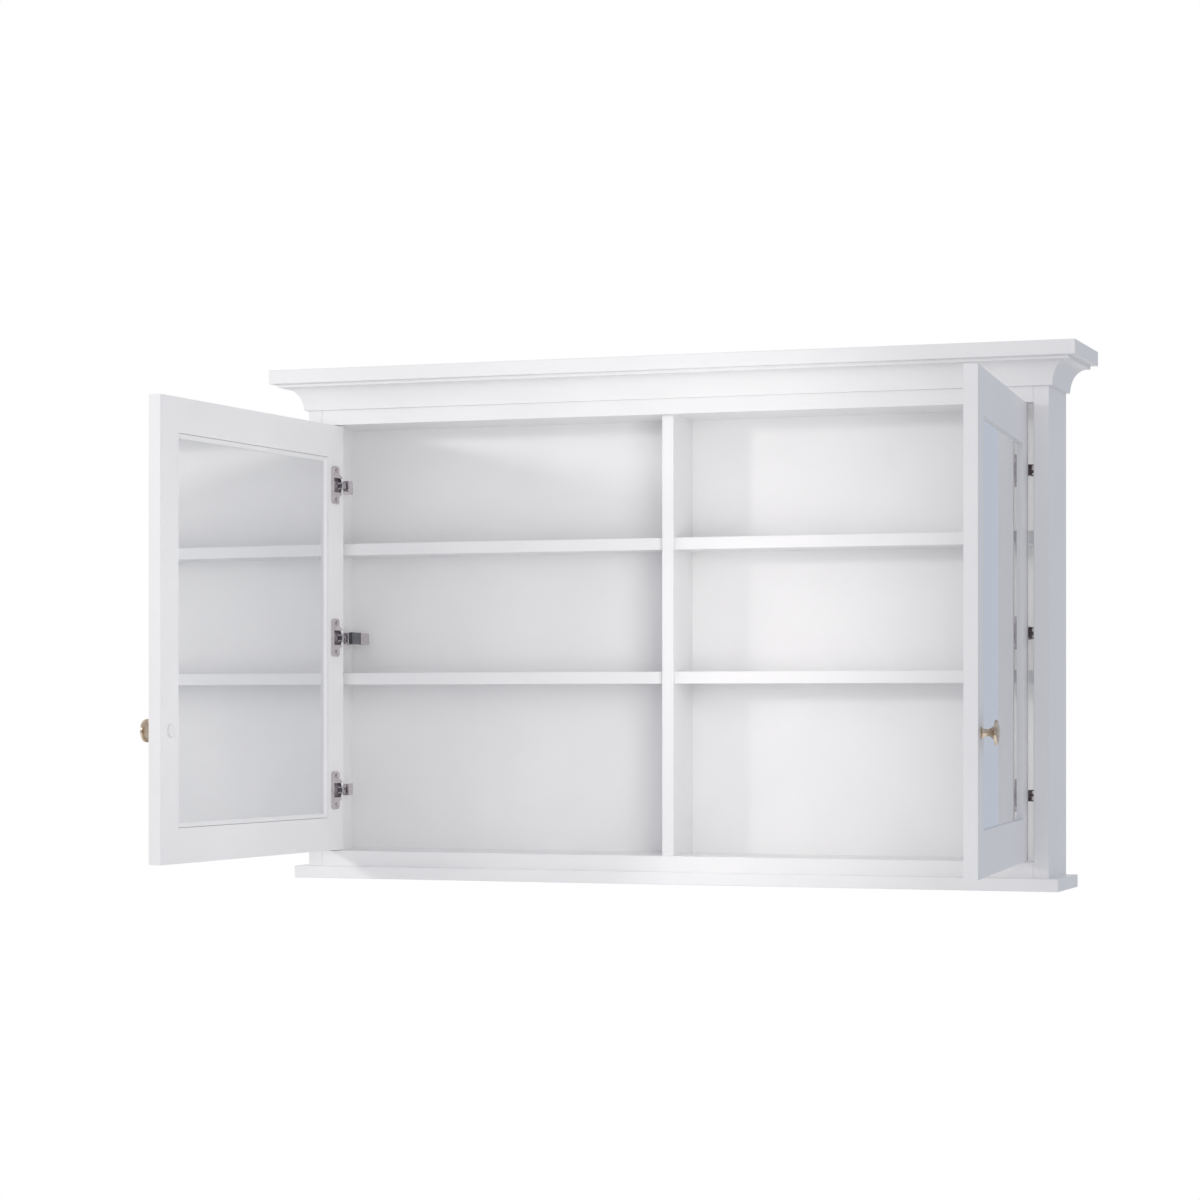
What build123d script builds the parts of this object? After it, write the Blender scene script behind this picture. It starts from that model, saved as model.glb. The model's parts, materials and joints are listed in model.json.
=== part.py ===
from build123d import *
from collections import namedtuple
from math import atan2, degrees
import os

# A white wooden wall cabinet with a moulded cornice and two inset mirror doors, both standing open.
# Sizes are in millimetres. X runs across the front, the wall is the plane Y = 0 with the room on its
# -Y side, and Z = 0 is the height of the two wall screws that the cabinet hangs from.

# Case
opening_width = 1210
opening_height = 715
case_depth = 139
side_thickness = 24
panel_thickness = 18
rail_thickness = 20
top_rail_height = 67
bottom_rail_height = 25
groove = 1.2
edge_round = 1.2

# Back, let into the sides, with room behind it for the hanging rail
back_thickness = 6
back_recess = 10
rebate_width = 8
rebate_clearance = 0.5
hanging_rail_height = 70
hanger_drop = 30

# Base board and cornice
base_thickness = 20
base_overhang = 18.5
cornice_thickness = 23
cornice_overhang = 51
cove_height = 37
cove_foot = 6.5
cove_reach = 33
fillet_reach = 39
fillet_height = 5

# Divider and shelves
divider_thickness = 19
divider_clearance = 1.5
shelf_thickness = 20
shelf_setback = 31
lower_clear_height = 279
middle_clear_height = 198

# Doors
door_gap = 2
door_thickness = 20
frame_width = 66
mirror_lip = 5
rebate_cover = 11.5
mirror_thickness = 3
backing_thickness = 2
bead_width = 7.5
bead_height = 6
bead_edge = 2.4
bead_gap = 0.6
left_open_angle = 93
right_open_angle = 95.2

# Knob, its screw and the cap over the screw head
knob_inset = 32
knob_height = 203
knob_base_radius = 9
knob_base_height = 1.5
knob_neck_radius = 5.2
knob_neck_height = 9
knob_flare_height = 11
knob_head_radius = 18
knob_rim_height = 3.5
knob_rim_round = 0.8
knob_crown_height = 3
knob_thread_depth = 10
cap_radius = 11
cap_height = 3.8
cap_wall = 1.2

# Concealed cup hinges
hinge_end_distance = 100
pole_inset = 13
pole_depth = 4.3
cup_inset = 22
cup_radius = 17.5
cup_depth = 13
cup_wall = 0.5
cup_rim_radius = 19
flange_thickness = 2.5
flange_near_edge = 18
flange_far_edge = 44
flange_length = 63
flange_corner = 6
mouth_length = 24
mouth_far_edge = 37.5
cup_screw_offset = 6
cup_screw_spacing = 48

# Hinge arms on their plates
plate_setback = 37
plate_width = 20
plate_length = 52
plate_thickness = 3
plate_screw_spacing = 32
arm_seat = 8
arm_width = 18.3
arm_wall = 1.5
arm_top = 17
arm_end = 68
arm_screw_setback = 60
boss_front = 28

# Hinge links and pins
pin_radius = 1.25
running_clearance = 0.05
eye_radius = 2.1
link_thickness = 1.5
eye_length = 14.4
outer_link_width = 10.5
outer_link_wall = 1.45
inner_link_width = 6.8
outer_link_turn = 0.24
inner_link_turn = 0.40

# Closing dampers on the middle hinges
damper_width = 20
damper_top = 42
damper_front = 10
damper_end = 46
damper_seam = 0.6
cover_foot = 21
cover_end = 88

# Fasteners
Screw = namedtuple("Screw", "shank_radius length head_radius head_height")
board_screw = Screw(2.5, 60, 5, 3)
hinge_screw = Screw(1.75, 14.5, 3.6, 2)
hanger_screw = Screw(1.5, 8, 3, 1.5)
arm_screw = Screw(2.5, 11, 4, 2.5)
knob_screw = Screw(2, door_thickness + knob_thread_depth - 2, 4.5, 2.4)
board_screw_inset = 30
hanger_spacing = 812.8
keyhole_radius = 5
keyhole_slot_radius = 2.4
keyhole_rise = 10
hanger_width = 22
hanger_length = 52
hanger_thickness = 2
hanger_screw_spacing = 38
head_pocket_depth = 5
head_pocket_clearance = 0.6

# Planes and heights of the case, worked out from the sizes above
body_width = opening_width + 2 * side_thickness
front = -case_depth
opening_top = hanger_drop
opening_bottom = opening_top - opening_height
rail_foot = opening_bottom - bottom_rail_height
cornice_foot = opening_top + top_rail_height
back_face = -(back_recess + back_thickness)
shelf_levels = {
    "lower": opening_bottom + lower_clear_height,
    "upper": opening_bottom + lower_clear_height + shelf_thickness + middle_clear_height,
}

# Doors in the opening, and the points of the hinges seen from above
door_width = (opening_width - 3 * door_gap) / 2
door_height = opening_height - 2 * door_gap
door_bottom = opening_bottom + door_gap
door_top = opening_top - door_gap
door_middle = (door_bottom + door_top) / 2
window_inset = frame_width - rebate_cover
hinge_heights = (door_bottom + hinge_end_distance, door_middle, door_top - hinge_end_distance)
pole = (door_gap + pole_inset, pole_depth)
cup_across = door_gap + cup_inset


def hinge_point(across, depth):
    """Point of a closed hinge, from the cup's centre and the inner face of the door."""
    return (cup_across + across, door_thickness + depth)


outer_pivot = hinge_point(10, 8)
inner_pivot = hinge_point(0.5, 7.5)
outer_link_path = [
    outer_pivot,
    hinge_point(5.9, -2.4),
    hinge_point(3.9, -9.1),
    hinge_point(-5.5, -9.1),
    hinge_point(-8.5, -8),
]
outer_web_end = hinge_point(6.9, 0.2)
inner_link_path = [
    inner_pivot,
    hinge_point(0.6, -5.6),
    hinge_point(-3.8, -11.4),
    hinge_point(-10.5, -7.8),
]
arm_web_path = [
    (arm_top - arm_wall / 2, door_thickness + arm_end),
    (arm_top - arm_wall / 2, door_thickness + 43.7),
    hinge_point(13.25, 19.7),
    hinge_point(13.25, 4.5),
]
arm_cheek = arm_web_path + [
    hinge_point(-3, 6.5),
    (arm_seat + 4, door_thickness + 30),
    (arm_seat, door_thickness + 40),
    (arm_seat, door_thickness + arm_end),
]

upwards = (Align.CENTER, Align.CENTER, Align.MIN)
downwards = (Align.CENTER, Align.CENTER, Align.MAX)
Side = namedtuple("Side", "name sign open_angle")
sides = (Side("left", -1, left_open_angle), Side("right", 1, right_open_angle))

os.makedirs("parts", exist_ok=True)


def save(piece, name):
    """Label a finished piece and write it out."""
    piece.part.label = name
    export_step(piece.part, f"parts/{name}.step")


def block(x_span, y_span, z_span, mode=Mode.ADD):
    """Box between two values on each axis."""
    spans = (x_span, y_span, z_span)
    centre = Vector(*[(low + high) / 2 for low, high in spans])
    sizes = [abs(high - low) for low, high in spans]
    with Locations(centre):
        Box(*sizes, mode=mode)


def corner_plane(side, height):
    """Plane at a height, from the opening's front corner: x across to the divider, y to the wall."""
    origin = (side.sign * opening_width / 2, front, height)
    return Plane(origin=origin, x_dir=(-side.sign, 0, 0), z_dir=(0, 0, -side.sign))


def turned_about(plane, point, angle):
    """The plane turned about a point of its own."""
    return Plane(plane.location * Pos(*point) * Rot(0, 0, angle) * Pos(-point[0], -point[1]))


def door_plane(side, height):
    """Plane across the open door: x from its hinge edge, y from its outer face to its inner face."""
    swung = turned_about(corner_plane(side, height), pole, -side.open_angle)
    return Plane(swung.location * Pos(door_gap, 0))


def facing_in(plane, across, depth):
    """Plane at a depth in a door, turned to look out of its inner face."""
    return Plane(plane.location * Pos(across, depth) * Rot(-90, 0, 0))


def off_side_panel(side, depth, height, rise=0):
    """Plane on the inner face of a side panel, or above it, looking across the opening."""
    origin = (side.sign * (opening_width / 2 - rise), front + depth, height)
    return Plane(origin=origin, x_dir=(0, 1, 0), z_dir=(-side.sign, 0, 0))


def bar(plane, across_span, depth_span, length, mode=Mode.ADD):
    """Straight bar, centred on the plane that its section lies in."""
    low_across, high_across = across_span
    low_depth, high_depth = depth_span
    with BuildSketch(plane) as section:
        with Locations(((low_across + high_across) / 2, (low_depth + high_depth) / 2)):
            Rectangle(high_across - low_across, high_depth - low_depth)
    extrude(section.sketch, amount=length / 2, both=True, mode=mode)


def screw_body(seat, screw):
    """Screw with a flat cylindrical head that stands on the seat."""
    with Locations(seat):
        Cylinder(screw.head_radius, screw.head_height, align=upwards)
        Cylinder(screw.shank_radius, screw.length, align=downwards)


def countersunk_screw(seat, screw, mode=Mode.ADD):
    """Screw whose conical head is flush with the seat, or with Mode.SUBTRACT the hole for it."""
    with Locations(seat):
        Cone(screw.shank_radius, screw.head_radius, screw.head_height, align=downwards, mode=mode)
        Cylinder(screw.shank_radius, screw.length, align=downwards, mode=mode)


def strip(points, width):
    """Bent strip of metal seen edge on: a rounded slot for each straight stretch."""
    for start, end in zip(points, points[1:]):
        run = Vector(*end) - Vector(*start)
        with Locations((Vector(*start) + Vector(*end)) / 2):
            SlotCenterToCenter(run.length, width, rotation=degrees(atan2(run.Y, run.X)))


# Seats of the fasteners, each looking out along its screw towards the head
base_screw_seats = {
    side.name: [
        Plane(
            origin=(side.sign * (body_width - side_thickness) / 2, y, rail_foot - base_thickness),
            z_dir=(0, 0, -1),
        )
        for y in (front + board_screw_inset, -board_screw_inset)
    ]
    for side in sides
}
cornice_screw_seats = {
    side.name: [
        Plane(
            origin=(side.sign * (body_width - side_thickness) / 2, y, cornice_foot + cornice_thickness),
            z_dir=(0, 0, 1),
        )
        for y in (front + board_screw_inset, -board_screw_inset)
    ]
    for side in sides
}
hanger_planes = [
    Plane(origin=(x, 0, 0), x_dir=(-1, 0, 0), z_dir=(0, 1, 0))
    for x in (-hanger_spacing / 2, hanger_spacing / 2)
]
hanger_screw_seats = [
    Plane(plane.location * Pos(0, rise + keyhole_rise / 2))
    for plane in hanger_planes
    for rise in (-hanger_screw_spacing / 2, hanger_screw_spacing / 2)
]
plate_screw_seats = {
    side.name: [
        off_side_panel(side, door_thickness + plate_setback, height + rise, plate_thickness)
        for height in hinge_heights
        for rise in (-plate_screw_spacing / 2, plate_screw_spacing / 2)
    ]
    for side in sides
}


def cup_seats(side):
    """Centres of the hinge cups on the inner face of a door."""
    return [facing_in(door_plane(side, height), cup_inset, door_thickness) for height in hinge_heights]


def cup_screw_seats(side):
    """Cup screws, on top of the flanges."""
    return [
        facing_in(
            door_plane(side, height + rise), cup_inset + cup_screw_offset, door_thickness + flange_thickness
        )
        for height in hinge_heights
        for rise in (-cup_screw_spacing / 2, cup_screw_spacing / 2)
    ]


# Side panels, with a fine chamfer where they meet the rails and a rebate for the back
for side in sides:
    inner = side.sign * opening_width / 2
    outer = side.sign * body_width / 2
    with BuildPart() as side_panel:
        block((inner, outer), (front, 0), (rail_foot, cornice_foot))
        inner_front = side_panel.faces().sort_by(Axis.Y)[0].edges().filter_by(Axis.Z)
        chamfer(inner_front.sort_by(lambda edge: abs(edge.center().X))[0], groove)
        block(
            (inner, inner + side.sign * rebate_width), (back_face, 0), (rail_foot, cornice_foot), Mode.SUBTRACT
        )
        with Locations(*plate_screw_seats[side.name]):
            Hole(hinge_screw.shank_radius, hinge_screw.length)
        with Locations(*base_screw_seats[side.name], *cornice_screw_seats[side.name]):
            Hole(board_screw.shank_radius, board_screw.length)
    save(side_panel, f"{side.name}_side_panel")

# Top and bottom panels, between the rails and the back
opening_span = (-opening_width / 2, opening_width / 2)
for name, levels in (
    ("top_panel", (opening_top, opening_top + panel_thickness)),
    ("bottom_panel", (opening_bottom - panel_thickness, opening_bottom)),
):
    with BuildPart() as panel:
        block(opening_span, (front + rail_thickness, back_face), levels)
    save(panel, name)

# Front rails, chamfered at the side panels
for name, levels in (
    ("top_rail", (opening_top, cornice_foot)),
    ("bottom_rail", (rail_foot, opening_bottom)),
):
    with BuildPart() as rail:
        block(opening_span, (front, front + rail_thickness), levels)
        chamfer(rail.faces().sort_by(Axis.Y)[0].edges().filter_by(Axis.Z), groove)
    save(rail, name)

# Base board and cornice board, with softened edges on the three sides that stick out
for name, overhang, levels, seats in (
    ("base_board", base_overhang, (rail_foot - base_thickness, rail_foot), base_screw_seats),
    ("cornice_board", cornice_overhang, (cornice_foot, cornice_foot + cornice_thickness), cornice_screw_seats),
):
    half_width = body_width / 2 + overhang
    with BuildPart() as board:
        block((-half_width, half_width), (front - overhang, 0), levels)
        free_edges = board.edges() - board.faces().sort_by(Axis.Y)[-1].edges()
        fillet(free_edges, edge_round)
        for seat in seats["left"] + seats["right"]:
            countersunk_screw(seat, board_screw, Mode.SUBTRACT)
    save(board, name)

with BuildPart() as board_screws:
    for side in sides:
        for seat in base_screw_seats[side.name] + cornice_screw_seats[side.name]:
            countersunk_screw(seat, board_screw)
save(board_screws, "board_screws")


def moulding_section(plane):
    """Section of the cornice moulding: a hollow cove under a narrow flat fillet."""
    top = cove_height + fillet_height
    with BuildSketch(plane) as section:
        with BuildLine():
            Line((0, 0), (cove_foot, 0))
            EllipticalCenterArc(
                (cove_reach, 0), cove_reach - cove_foot, cove_height, start_angle=90, arc_size=90
            )
            Polyline(
                (cove_reach, cove_height), (fillet_reach, cove_height), (fillet_reach, top), (0, top), (0, 0)
            )
        make_face()
    return section.sketch


# Cornice moulding under the cornice board: one front length and two returns, mitred at the corners
moulding_foot = cornice_foot - cove_height - fillet_height
mitres = {
    side.name: Plane(origin=(side.sign * body_width / 2, front, 0), z_dir=(side.sign, 1, 0)) for side in sides
}
front_section = moulding_section(Plane(origin=(0, front, moulding_foot), x_dir=(0, -1, 0), z_dir=(-1, 0, 0)))
with BuildPart() as front_moulding:
    extrude(front_section, amount=body_width / 2 + fillet_reach, both=True)
    split(bisect_by=mitres["left"], keep=Keep.BOTTOM)
    split(bisect_by=mitres["right"], keep=Keep.BOTTOM)
save(front_moulding, "cornice_moulding_front")

for side in sides:
    wall_end = Plane(
        origin=(side.sign * body_width / 2, 0, moulding_foot), x_dir=(side.sign, 0, 0), z_dir=(0, -side.sign, 0)
    )
    with BuildPart() as return_moulding:
        extrude(moulding_section(wall_end), amount=side.sign * (case_depth + fillet_reach))
        split(bisect_by=mitres[side.name], keep=Keep.TOP)
    save(return_moulding, f"cornice_moulding_{side.name}")

# Back panel in the side rebates, and the hanging rail behind it
back_half_width = opening_width / 2 + rebate_width - rebate_clearance
with BuildPart() as back_panel:
    block(
        (-back_half_width, back_half_width),
        (back_face, -back_recess),
        (rail_foot, cornice_foot),
    )
save(back_panel, "back_panel")

with BuildPart() as hanging_rail:
    block(
        (-back_half_width, back_half_width),
        (-back_recess, 0),
        (hanger_drop - hanging_rail_height, hanger_drop),
    )
    for plane in hanger_planes:
        with BuildSketch(Plane(plane.location * Pos(0, keyhole_rise / 2))):
            RectangleRounded(hanger_width, hanger_length, hanger_width / 4)
        extrude(amount=-hanger_thickness, mode=Mode.SUBTRACT)
        with BuildSketch(Plane(plane.location * Pos(0, keyhole_rise / 2))):
            SlotCenterToCenter(keyhole_rise, 2 * (keyhole_radius + head_pocket_clearance), rotation=90)
        extrude(amount=-hanger_thickness - head_pocket_depth, mode=Mode.SUBTRACT)
    with Locations(*hanger_screw_seats):
        Hole(hanger_screw.shank_radius, hanger_screw.length)
save(hanging_rail, "hanging_rail")

# Keyhole plates, flush with the back of the rail: a screw head goes in at Z = 0 and rides up the slot
with BuildPart() as keyhole_plates:
    for plane in hanger_planes:
        with BuildSketch(Plane(plane.location * Pos(0, keyhole_rise / 2))):
            RectangleRounded(hanger_width, hanger_length, hanger_width / 4)
        extrude(amount=-hanger_thickness)
        with BuildSketch(plane):
            Circle(keyhole_radius)
            with Locations((0, keyhole_rise / 2)):
                SlotCenterToCenter(keyhole_rise, 2 * keyhole_slot_radius, rotation=90)
        extrude(amount=-hanger_thickness, mode=Mode.SUBTRACT)
    for seat in hanger_screw_seats:
        countersunk_screw(seat, hanger_screw, Mode.SUBTRACT)
save(keyhole_plates, "keyhole_plates")

with BuildPart() as hanger_screws:
    for seat in hanger_screw_seats:
        countersunk_screw(seat, hanger_screw)
save(hanger_screws, "keyhole_plate_screws")

# Centre divider, which stands clear behind the closed doors
with BuildPart() as divider:
    block(
        (-divider_thickness / 2, divider_thickness / 2),
        (front + door_thickness + divider_clearance, back_face),
        (opening_bottom, opening_top),
    )
save(divider, "centre_divider")

# Two shelves on each side of the divider
for side in sides:
    for level_name, level in shelf_levels.items():
        with BuildPart() as shelf:
            block(
                (side.sign * divider_thickness / 2, side.sign * opening_width / 2),
                (front + shelf_setback, back_face),
                (level, level + shelf_thickness),
            )
            front_edges = shelf.faces().sort_by(Axis.Y)[0].edges().filter_by(Axis.X)
            fillet(front_edges, edge_round)
        save(shelf, f"{side.name}_{level_name}_shelf")

# Wooden frames of the doors: the stiles run the full height and the rails stand between them
window_span = (window_inset, door_width - window_inset)
window_height = door_height - 2 * window_inset
for side in sides:
    middle = door_plane(side, door_middle)

    with BuildPart() as hinge_stile:
        bar(middle, (0, frame_width), (0, door_thickness), door_height)
        bar(middle, (window_inset, frame_width), (mirror_lip, door_thickness), window_height, Mode.SUBTRACT)
        with Locations(*cup_seats(side)):
            Hole(cup_radius, cup_depth)
        with Locations(*cup_screw_seats(side)):
            Hole(hinge_screw.shank_radius, hinge_screw.length)
    save(hinge_stile, f"{side.name}_door_hinge_stile")

    free_span = (door_width - frame_width, door_width)
    knob_plane = door_plane(side, door_bottom + knob_height)
    screw_seat = facing_in(knob_plane, door_width - knob_inset, door_thickness)
    with BuildPart() as free_stile:
        bar(middle, free_span, (0, door_thickness), door_height)
        bar(
            middle,
            (free_span[0], free_span[0] + rebate_cover),
            (mirror_lip, door_thickness),
            window_height,
            Mode.SUBTRACT,
        )
        with Locations(screw_seat):
            Hole(knob_screw.shank_radius, door_thickness)
    save(free_stile, f"{side.name}_door_free_stile")

    for rail_name, level, inwards in (("top", door_top, -1), ("bottom", door_bottom, 1)):
        rail_plane = door_plane(side, level + inwards * frame_width / 2)
        rebate_plane = door_plane(side, level + inwards * (frame_width - rebate_cover / 2))
        with BuildPart() as door_rail:
            bar(rail_plane, (frame_width, door_width - frame_width), (0, door_thickness), frame_width)
            bar(
                rebate_plane,
                (frame_width, door_width - frame_width),
                (mirror_lip, door_thickness),
                rebate_cover,
                Mode.SUBTRACT,
            )
        save(door_rail, f"{side.name}_door_{rail_name}_rail")

    # The pack in the frame, from the outer face inwards: mirror, backing board and mirror
    depth = mirror_lip
    for layer_name, thickness in (
        ("outside_mirror", mirror_thickness),
        ("backing_board", backing_thickness),
        ("inside_mirror", mirror_thickness),
    ):
        with BuildPart() as layer:
            bar(middle, window_span, (depth, depth + thickness), window_height)
        save(layer, f"{side.name}_door_{layer_name}")
        depth += thickness

    # Bead that holds the pack, sloping down from the frame to the inner mirror
    bead_seat = facing_in(middle, door_width / 2, depth)
    with BuildPart() as bead:
        with BuildSketch(bead_seat):
            Rectangle(door_width - 2 * (window_inset + bead_gap), window_height - 2 * bead_gap)
            Rectangle(
                door_width - 2 * (window_inset + bead_width), window_height - 2 * bead_width, mode=Mode.SUBTRACT
            )
        extrude(amount=bead_height)
        top_face = bead.faces().sort_by(Axis(bead_seat.origin, bead_seat.z_dir))[-1]
        chamfer(
            top_face.inner_wires()[0].edges(), bead_height - bead_edge, bead_width - bead_gap - edge_round
        )
    save(bead, f"{side.name}_door_mirror_bead")

    # Knob turned from brass, drawn as half its section with the axis out of the door
    section = Plane(knob_plane.location * Pos(door_width - knob_inset, 0) * Rot(180, 0, 0))
    rim_foot = knob_neck_height + knob_flare_height
    rim_top = rim_foot + knob_rim_height
    with BuildPart() as knob:
        with BuildSketch(section):
            with BuildLine():
                Polyline((0, 0), (knob_base_radius, 0), (knob_base_radius, knob_base_height))
                EllipticalCenterArc(
                    (knob_base_radius, knob_neck_height),
                    knob_base_radius - knob_neck_radius,
                    knob_neck_height - knob_base_height,
                    start_angle=180,
                    arc_size=90,
                )
                EllipticalCenterArc(
                    (knob_head_radius, knob_neck_height),
                    knob_head_radius - knob_neck_radius,
                    knob_flare_height,
                    start_angle=90,
                    arc_size=90,
                )
                Line((knob_head_radius, rim_foot), (knob_head_radius, rim_top))
                ThreePointArc(
                    (knob_head_radius, rim_top),
                    (knob_head_radius / 2, rim_top + knob_crown_height * 0.75),
                    (0, rim_top + knob_crown_height),
                )
                Line((0, rim_top + knob_crown_height), (0, 0))
            make_face()
        revolve(axis=Axis(section.origin, section.y_dir))
        rim_edges = knob.edges().filter_by(GeomType.CIRCLE).sort_by(SortBy.RADIUS)[-2:]
        fillet(rim_edges, knob_rim_round)
        with Locations(facing_in(knob_plane, door_width - knob_inset, 0)):
            Hole(knob_screw.shank_radius, knob_thread_depth)
    save(knob, f"{side.name}_door_knob")

    with BuildPart() as knob_bolt:
        screw_body(screw_seat, knob_screw)
    save(knob_bolt, f"{side.name}_door_knob_screw")

    with BuildPart() as cap:
        with BuildSketch(screw_seat):
            Circle(cap_radius)
        extrude(amount=cap_height)
        fillet(cap.faces().sort_by(Axis(screw_seat.origin, screw_seat.z_dir))[-1].edges(), cap_height - cap_wall)
        with BuildSketch(screw_seat):
            Circle(cap_radius - cap_height)
        extrude(amount=cap_height - cap_wall, mode=Mode.SUBTRACT)
    save(cap, f"{side.name}_door_screw_cap")

    # Hinge cups: a steel pot in the stile, under a flange with an open mouth towards the door's edge
    flange_middle = (flange_near_edge + flange_far_edge) / 2 - cup_inset
    with BuildPart() as cups:
        for seat in cup_seats(side):
            with BuildSketch(seat):
                Circle(cup_rim_radius)
                with Locations((flange_middle, 0)):
                    RectangleRounded(flange_far_edge - flange_near_edge, flange_length, flange_corner)
                with Locations((mouth_far_edge - cup_inset, 0)):
                    Rectangle(
                        2 * cup_rim_radius, mouth_length, align=(Align.MAX, Align.CENTER), mode=Mode.SUBTRACT
                    )
            extrude(amount=flange_thickness)
            with BuildSketch(seat):
                Circle(cup_radius)
                Circle(cup_radius - cup_wall, mode=Mode.SUBTRACT)
            extrude(amount=-cup_depth)
            with BuildSketch(seat.offset(-cup_depth)):
                Circle(cup_radius)
            extrude(amount=cup_wall)
        with Locations(*cup_screw_seats(side)):
            Hole(hinge_screw.shank_radius, flange_thickness)
    save(cups, f"{side.name}_door_hinge_cups")

    with BuildPart() as cup_screws:
        for seat in cup_screw_seats(side):
            screw_body(seat, hinge_screw)
    save(cup_screws, f"{side.name}_door_cup_screws")

    # Outer links: two cheeks joined by a web near the arm. The cup end stays open, clear of the cup
    with BuildPart() as outer_links:
        for height in hinge_heights:
            plane = turned_about(corner_plane(side, height), outer_pivot, outer_link_turn * side.open_angle)
            for offset in (-1, 1):
                with BuildSketch(plane.offset(offset * (outer_link_width - outer_link_wall) / 2)):
                    strip(outer_link_path, link_thickness)
                extrude(amount=outer_link_wall / 2, both=True)
            with BuildSketch(plane):
                strip([outer_pivot, outer_web_end], link_thickness)
            extrude(amount=outer_link_width / 2, both=True)
            with BuildSketch(plane):
                with Locations(outer_pivot):
                    Circle(eye_radius)
            extrude(amount=eye_length / 2, both=True)
            with BuildSketch(plane):
                with Locations(outer_pivot):
                    Circle(pin_radius + running_clearance)
            extrude(amount=eye_length / 2, both=True, mode=Mode.SUBTRACT)
    save(outer_links, f"{side.name}_outer_links")

    # Inner links: one strap between the cheeks of the outer link
    with BuildPart() as inner_links:
        for height in hinge_heights:
            plane = turned_about(corner_plane(side, height), inner_pivot, inner_link_turn * side.open_angle)
            with BuildSketch(plane):
                strip(inner_link_path, link_thickness)
            extrude(amount=inner_link_width / 2, both=True)
            with BuildSketch(plane):
                with Locations(inner_pivot):
                    Circle(eye_radius)
            extrude(amount=eye_length / 2, both=True)
            with BuildSketch(plane):
                with Locations(inner_pivot):
                    Circle(pin_radius + running_clearance)
            extrude(amount=eye_length / 2, both=True, mode=Mode.SUBTRACT)
    save(inner_links, f"{side.name}_inner_links")

# Mounting plates on the side panels, each with a raised seat for its arm
boss_span = (boss_front, arm_end)
with BuildPart() as hinge_plates:
    for side in sides:
        for height in hinge_heights:
            with BuildSketch(off_side_panel(side, door_thickness + plate_setback, height)):
                SlotOverall(plate_length, plate_width, rotation=90)
            extrude(amount=plate_thickness)
            bar(
                corner_plane(side, height),
                (0, arm_seat),
                (door_thickness + boss_front, door_thickness + arm_end),
                arm_width,
            )
        with Locations(*plate_screw_seats[side.name]):
            Hole(hinge_screw.shank_radius, plate_thickness)
        with Locations(*[
            off_side_panel(side, door_thickness + arm_screw_setback, height, arm_seat)
            for height in hinge_heights
        ]):
            Hole(arm_screw.shank_radius, arm_seat - plate_thickness)
save(hinge_plates, "hinge_plates")

with BuildPart() as plate_screws:
    for side in sides:
        for seat in plate_screw_seats[side.name]:
            screw_body(seat, hinge_screw)
save(plate_screws, "hinge_plate_screws")

# Cranked arms of folded steel: a web on top and a cheek down each side
with BuildPart() as hinge_arms:
    for side in sides:
        for height in hinge_heights:
            plane = corner_plane(side, height)
            with BuildSketch(plane):
                strip(arm_web_path, arm_wall)
            extrude(amount=arm_width / 2, both=True)
            for offset in (-1, 1):
                with BuildSketch(plane.offset(offset * (arm_width - arm_wall) / 2)):
                    with BuildLine():
                        Polyline(*arm_cheek, close=True)
                    make_face()
                extrude(amount=arm_wall / 2, both=True)
            with BuildSketch(plane):
                with Locations(outer_pivot, inner_pivot):
                    Circle(pin_radius)
            extrude(amount=arm_width, both=True, mode=Mode.SUBTRACT)
        with Locations(*[
            off_side_panel(side, door_thickness + arm_screw_setback, height, arm_top)
            for height in hinge_heights
        ]):
            Hole(arm_screw.shank_radius, arm_wall)
save(hinge_arms, "hinge_arms")

with BuildPart() as arm_screws:
    for side in sides:
        for height in hinge_heights:
            seat = off_side_panel(side, door_thickness + arm_screw_setback, height, arm_top)
            screw_body(seat, arm_screw)
save(arm_screws, "arm_screws")

with BuildPart() as link_pins:
    for side in sides:
        for height in hinge_heights:
            with BuildSketch(corner_plane(side, height)):
                with Locations(outer_pivot, inner_pivot):
                    Circle(pin_radius)
            extrude(amount=arm_width / 2, both=True)
save(link_pins, "link_pins")

# Closing dampers that clip over the arms of the middle hinges, and their rear covers
with BuildPart() as dampers:
    for side in sides:
        with BuildSketch(corner_plane(side, door_middle)):
            with BuildLine():
                Polyline(
                    hinge_point(14, damper_front),
                    (damper_top, door_thickness + damper_front),
                    (damper_top, door_thickness + damper_end),
                    (arm_top, door_thickness + damper_end),
                    (arm_top, door_thickness + 44),
                    hinge_point(14, 20),
                    close=True,
                )
            make_face()
        extrude(amount=damper_width / 2, both=True)
save(dampers, "closing_dampers")

with BuildPart() as damper_covers:
    for side in sides:
        with BuildSketch(corner_plane(side, door_middle)):
            with BuildLine():
                Polyline(
                    (cover_foot, door_thickness + damper_end + damper_seam),
                    (damper_top - 1, door_thickness + damper_end + damper_seam),
                    (damper_top - 1, door_thickness + cover_end - 6),
                    (damper_top - 6, door_thickness + cover_end),
                    (cover_foot, door_thickness + cover_end),
                    close=True,
                )
            make_face()
        extrude(amount=damper_width / 2 - 1, both=True)
save(damper_covers, "damper_covers")
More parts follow.
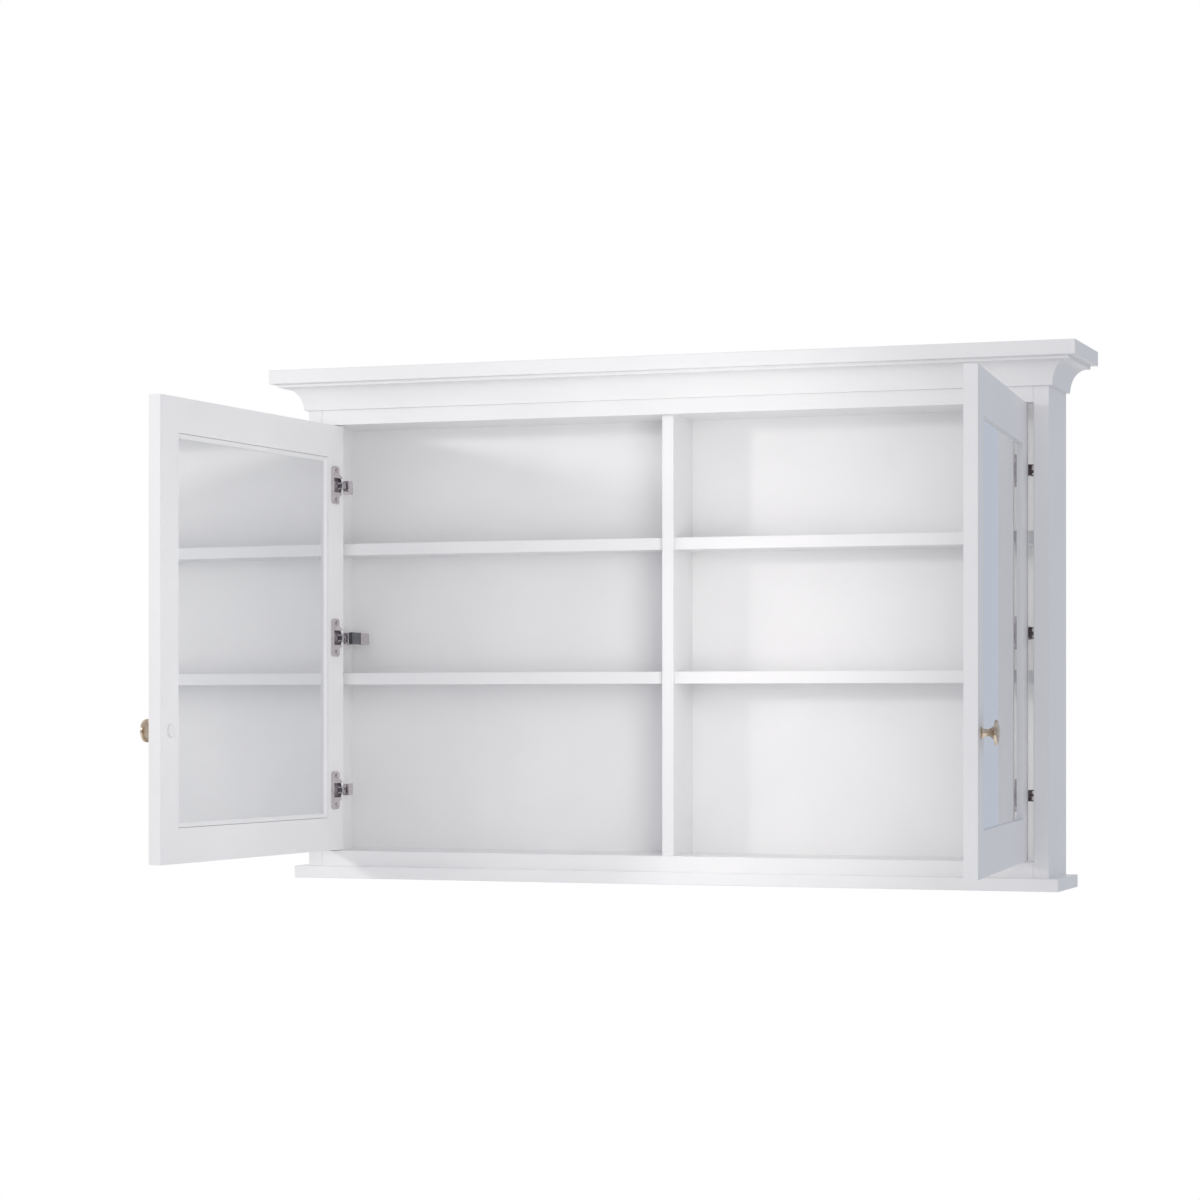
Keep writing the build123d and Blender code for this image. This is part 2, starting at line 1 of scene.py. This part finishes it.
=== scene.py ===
import bpy
import json
from math import radians
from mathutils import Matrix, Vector

# A white wall cabinet with two open mirror doors, dressed for its picture. All lengths are in metres.
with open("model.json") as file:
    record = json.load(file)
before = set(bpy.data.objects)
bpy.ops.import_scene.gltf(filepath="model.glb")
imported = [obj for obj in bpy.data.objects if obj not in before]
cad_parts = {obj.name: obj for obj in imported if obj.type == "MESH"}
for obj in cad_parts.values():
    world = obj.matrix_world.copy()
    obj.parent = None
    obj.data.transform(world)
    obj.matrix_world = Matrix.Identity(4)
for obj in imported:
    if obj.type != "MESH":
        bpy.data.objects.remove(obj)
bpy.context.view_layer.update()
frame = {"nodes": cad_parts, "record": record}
scene = bpy.context.scene
collection = scene.collection

# Camera, as solved from the edges of the case in the photograph, in pixels of its 1200 x 1200 frame
photo_width = 1200
focal_pixels = 3141.1
horizon_row = 710.0
camera_place = (1.5991, -4.9633, -0.4486)
camera_turn = radians(19.50)
sensor_width = 36.0
view_distance = 100

# Floor, far below the cabinet
floor_level = -1.95
floor_size = 9.0
floor_tone = (0.9, 0.9, 0.9)
floor_roughness = 0.9

# World: fill light from the sides and from the front, and what mirrors and metal show in each direction
white = (1.0, 1.0, 1.0)
side_fill = (0.52, 0.535, 0.575)
front_fill = (0.83, 0.82, 0.84)
room_colour = (0.48, 0.48, 0.50)
side_colour = (0.50, 0.54, 0.62)
shade_colour = (0.16, 0.16, 0.17)

# Components of a unit direction between which one colour of the world gives way to another
front_blend = (0.0, -1.0)
back_blend = (-0.5, 0.4)
right_blend = (-0.10, 0.0)
floor_blend = (-0.15, -0.6)

# Lamps: place, point aimed at, width and height, power in watts, and whether mirrors and metal show it
lamp_colour = (1.0, 0.96, 0.92)
lamps = {
    "key": ((-3.3, -3.4, 0.55), (0.1, 0, -0.3), (0.35, 0.35), 38, True),
    "front": ((0.85, -3.6, 0.1), (-0.1, 0, -0.3), (1.2, 1.2), 4, False),
    "door_side": ((0.36, -0.69, -0.33), (-0.9, -0.43, -0.33), (0.35, 0.6), 2.6, False),
}

# Finish of each material slot: dark tone, light tone, lowest roughness, highest roughness
finishes = {
    "white_paint": ((0.862, 0.864, 0.872), (0.892, 0.894, 0.900), 0.34, 0.42),
    "mirror_glass": ((0.895, 0.905, 0.908), (0.91, 0.918, 0.92), 0.004, 0.01),
    "hardboard": ((0.16, 0.10, 0.06), (0.34, 0.23, 0.14), 0.6, 0.85),
    "antique_brass": ((0.46, 0.35, 0.24), (0.80, 0.70, 0.58), 0.12, 0.24),
    "nickel": ((0.58, 0.53, 0.54), (0.74, 0.69, 0.70), 0.16, 0.28),
    "zinc_steel": ((0.42, 0.43, 0.45), (0.6, 0.61, 0.63), 0.26, 0.4),
    "white_plastic": ((0.84, 0.84, 0.85), (0.87, 0.87, 0.88), 0.55, 0.65),
    "damper_plastic": ((0.045, 0.048, 0.055), (0.09, 0.094, 0.105), 0.14, 0.24),
    "damper_cover": ((0.50, 0.47, 0.48), (0.60, 0.57, 0.58), 0.3, 0.45),
}

# Noise values between which a finish goes from its low to its high end
cloud_start = 0.3
cloud_end = 0.7

# Scales of noise and ribs, in the object's own metres
paint_clouds = 6.0
paint_peel = 420.0
glass_waves = 3.0
metal_clouds = 90.0
brass_grain = 900.0
plate_grain = 1200.0
plastic_clouds = 60.0
plastic_grain = 1800.0
cover_ribs = 150.0
board_fibres = 260.0

# Levels of detail of the noise
smooth_detail = 1.0
grain_detail = 2.0
cloud_detail = 3.0
fibre_detail = 6.0

# Heights of relief
peel_height = 0.00004
brass_height = 0.00003
plate_height = 0.00002
plastic_height = 0.00003
rib_height = 0.0006
fibre_height = 0.00015
paint_specular = 0.45


def new_material(name):
    """Material with its nodes, links and main shader."""
    material = bpy.data.materials.new(name)
    material.use_nodes = True
    tree = material.node_tree
    return material, tree.nodes, tree.links, tree.nodes["Principled BSDF"]


def add_noise(nodes, links, scale, detail):
    """Noise in the object's own space, so that it stays on the surface."""
    place = nodes.new("ShaderNodeTexCoord")
    noise = nodes.new("ShaderNodeTexNoise")
    noise.inputs["Scale"].default_value = scale
    noise.inputs["Detail"].default_value = detail
    links.new(place.outputs["Object"], noise.inputs["Vector"])
    return noise.outputs["Fac"]


def number_between(nodes, links, value, start, end, low=0.0, high=1.0):
    """Number that goes from low to high as the value goes from start to end."""
    span = nodes.new("ShaderNodeMapRange")
    span.inputs["From Min"].default_value = start
    span.inputs["From Max"].default_value = end
    span.inputs["To Min"].default_value = low
    span.inputs["To Max"].default_value = high
    links.new(value, span.inputs["Value"])
    return span.outputs["Result"]


def add_relief(nodes, links, shader, pattern, height):
    """Small relief on the shader."""
    bump = nodes.new("ShaderNodeBump")
    bump.inputs["Strength"].default_value = 1.0
    bump.inputs["Distance"].default_value = height
    links.new(pattern, bump.inputs["Height"])
    links.new(bump.outputs["Normal"], shader.inputs["Normal"])


def clouded_material(name, slot, scale, detail=cloud_detail):
    """Material whose colour and roughness follow one noise through the range of the slot's finish."""
    dark, light, smooth, rough = finishes[slot]
    material, nodes, links, shader = new_material(name)
    noise = add_noise(nodes, links, scale, detail)
    ramp = nodes.new("ShaderNodeValToRGB")
    ramp.color_ramp.elements[0].position = cloud_start
    ramp.color_ramp.elements[0].color = (*dark, 1)
    ramp.color_ramp.elements[1].position = cloud_end
    ramp.color_ramp.elements[1].color = (*light, 1)
    links.new(noise, ramp.inputs["Fac"])
    links.new(ramp.outputs["Color"], shader.inputs["Base Color"])
    roughness = number_between(nodes, links, noise, cloud_start, cloud_end, smooth, rough)
    links.new(roughness, shader.inputs["Roughness"])
    return material, nodes, links, shader, noise


def satin_paint():
    """Sprayed white lacquer: nearly even, with faint clouding and a fine orange peel."""
    material, nodes, links, shader, _ = clouded_material("satin_white_paint", "white_paint", paint_clouds)
    peel = add_noise(nodes, links, paint_peel, grain_detail)
    add_relief(nodes, links, shader, peel, peel_height)
    shader.inputs["Specular IOR Level"].default_value = paint_specular
    return material


def mirror_glass():
    """Silvered glass, faintly cool, with slightly uneven tone and polish."""
    material, _, _, shader, _ = clouded_material("mirror_glass", "mirror_glass", glass_waves, smooth_detail)
    shader.inputs["Metallic"].default_value = 1.0
    return material


def worn_metal(name, slot, grain_scale, grain_height):
    """Plated or turned metal with cloudy tone and a fine grain."""
    material, nodes, links, shader, _ = clouded_material(name, slot, metal_clouds)
    shader.inputs["Metallic"].default_value = 1.0
    grain = add_noise(nodes, links, grain_scale, grain_detail)
    add_relief(nodes, links, shader, grain, grain_height)
    return material


def moulded_plastic(slot):
    """Moulded plastic with a fine texture."""
    material, nodes, links, shader, _ = clouded_material(slot, slot, plastic_clouds)
    grain = add_noise(nodes, links, plastic_grain, grain_detail)
    add_relief(nodes, links, shader, grain, plastic_height)
    return material


def ribbed_plastic(slot):
    """Moulded plastic with ribs across its length."""
    material, nodes, links, shader, _ = clouded_material(slot, slot, plastic_clouds)
    place = nodes.new("ShaderNodeTexCoord")
    ribs = nodes.new("ShaderNodeTexWave")
    ribs.bands_direction = "Y"
    ribs.inputs["Scale"].default_value = cover_ribs
    links.new(place.outputs["Object"], ribs.inputs["Vector"])
    add_relief(nodes, links, shader, ribs.outputs["Fac"], rib_height)
    return material


def hardboard():
    """Brown hardboard with short dark fibres."""
    material, nodes, links, shader, fibres = clouded_material(
        "hardboard", "hardboard", board_fibres, fibre_detail
    )
    add_relief(nodes, links, shader, fibres, fibre_height)
    return material


def dress_cad_nodes():
    """Give every CAD node the material of its slot."""
    slot_materials = {
        "white_paint": satin_paint(),
        "mirror_glass": mirror_glass(),
        "hardboard": hardboard(),
        "antique_brass": worn_metal("antique_brass", "antique_brass", brass_grain, brass_height),
        "nickel": worn_metal("nickel_plate", "nickel", plate_grain, plate_height),
        "zinc_steel": worn_metal("zinc_plate", "zinc_steel", plate_grain, plate_height),
        "white_plastic": moulded_plastic("white_plastic"),
        "damper_plastic": moulded_plastic("damper_plastic"),
        "damper_cover": ribbed_plastic("damper_cover"),
    }
    for entry in frame["record"]["subparts"]:
        cad_object = frame["nodes"][entry["node"]]
        cad_object.data.materials.clear()
        cad_object.data.materials.append(slot_materials[entry["material_slot"]])


def add_camera():
    """Camera at the photograph's place, level, with the horizon brought to its row by the shift."""
    data = bpy.data.cameras.new("camera")
    data.sensor_width = sensor_width
    data.lens = focal_pixels / photo_width * sensor_width
    data.shift_y = (horizon_row - photo_width / 2) / photo_width
    data.clip_end = view_distance
    camera = bpy.data.objects.new("camera", data)
    camera.location = camera_place
    camera.rotation_euler = (radians(90), 0, camera_turn)
    collection.objects.link(camera)
    scene.camera = camera


def is_ray(nodes, links, kinds):
    """Factor of 1 for rays of any of these kinds, and 0 for the rest."""
    path = nodes.new("ShaderNodeLightPath")
    factor = path.outputs[kinds[0]]
    for kind in kinds[1:]:
        larger = nodes.new("ShaderNodeMath")
        larger.operation = "MAXIMUM"
        links.new(factor, larger.inputs[0])
        links.new(path.outputs[kind], larger.inputs[1])
        factor = larger.outputs[0]
    return factor


def mix_colour(nodes, links, factor, first, second):
    """Colour that goes from first to second with the factor; each is a socket or a plain colour."""
    mix = nodes.new("ShaderNodeMix")
    mix.data_type = "RGBA"
    links.new(factor, mix.inputs["Factor"])
    for name, source in (("A", first), ("B", second)):
        socket = next(entry for entry in mix.inputs if entry.name == name and entry.type == "RGBA")
        if isinstance(source, tuple):
            socket.default_value = (*source, 1)
        else:
            links.new(source, socket)
    return next(entry for entry in mix.outputs if entry.type == "RGBA")


def add_world():
    """White to the camera, fill light on the object, and a dim room round a white back in gloss."""
    world = bpy.data.worlds.new("studio")
    scene.world = world
    world.use_nodes = True
    nodes = world.node_tree.nodes
    links = world.node_tree.links
    place = nodes.new("ShaderNodeTexCoord")
    axes = nodes.new("ShaderNodeSeparateXYZ")
    links.new(place.outputs["Generated"], axes.inputs["Vector"])
    to_front = number_between(nodes, links, axes.outputs["Y"], *front_blend)
    to_back = number_between(nodes, links, axes.outputs["Y"], *back_blend)
    to_right = number_between(nodes, links, axes.outputs["X"], *right_blend)
    to_floor = number_between(nodes, links, axes.outputs["Z"], *floor_blend)
    fill = mix_colour(nodes, links, to_front, side_fill, front_fill)
    room = mix_colour(nodes, links, to_back, room_colour, white)
    room = mix_colour(nodes, links, to_right, room, side_colour)
    room = mix_colour(nodes, links, to_floor, room, shade_colour)
    in_gloss = is_ray(nodes, links, ["Is Glossy Ray"])
    seen = is_ray(nodes, links, ["Is Camera Ray", "Is Transmission Ray"])
    around = mix_colour(nodes, links, in_gloss, fill, room)
    final = mix_colour(nodes, links, seen, around, white)
    background = nodes["Background"]
    background.inputs["Strength"].default_value = 1.0
    links.new(final, background.inputs["Color"])


def add_floor():
    """Plain floor, white to the camera and in gloss, and pale to the rest of the light."""
    half = floor_size / 2
    mesh = bpy.data.meshes.new("floor")
    corners = [(x, y, floor_level) for x, y in ((-half, -half), (half, -half), (half, half), (-half, half))]
    mesh.from_pydata(corners, [], [(0, 1, 2, 3)])
    floor = bpy.data.objects.new("floor", mesh)
    collection.objects.link(floor)
    material, nodes, links, shader = new_material("pale_floor")
    shader.inputs["Base Color"].default_value = (*floor_tone, 1)
    shader.inputs["Roughness"].default_value = floor_roughness
    glow = nodes.new("ShaderNodeEmission")
    mix = nodes.new("ShaderNodeMixShader")
    seen = is_ray(nodes, links, ["Is Camera Ray", "Is Glossy Ray", "Is Transmission Ray"])
    links.new(seen, mix.inputs["Fac"])
    links.new(shader.outputs["BSDF"], mix.inputs[1])
    links.new(glow.outputs["Emission"], mix.inputs[2])
    links.new(mix.outputs["Shader"], nodes["Material Output"].inputs["Surface"])
    mesh.materials.append(material)


def add_lamp(name, place, target, size, power, in_gloss):
    """Rectangular soft box aimed at a point. The camera never sees it, and gloss only if it is in gloss."""
    data = bpy.data.lights.new(name, "AREA")
    data.shape = "RECTANGLE"
    data.size, data.size_y = size
    data.energy = power
    data.color = lamp_colour
    lamp = bpy.data.objects.new(name, data)
    lamp.location = place
    lamp.visible_camera = False
    lamp.visible_glossy = in_gloss
    lamp.rotation_euler = (Vector(target) - Vector(place)).to_track_quat("-Z", "Y").to_euler()
    collection.objects.link(lamp)


dress_cad_nodes()
add_camera()
add_world()
add_floor()
for lamp_name, settings in lamps.items():
    add_lamp(lamp_name, *settings)

scene.view_settings.view_transform = "Standard"
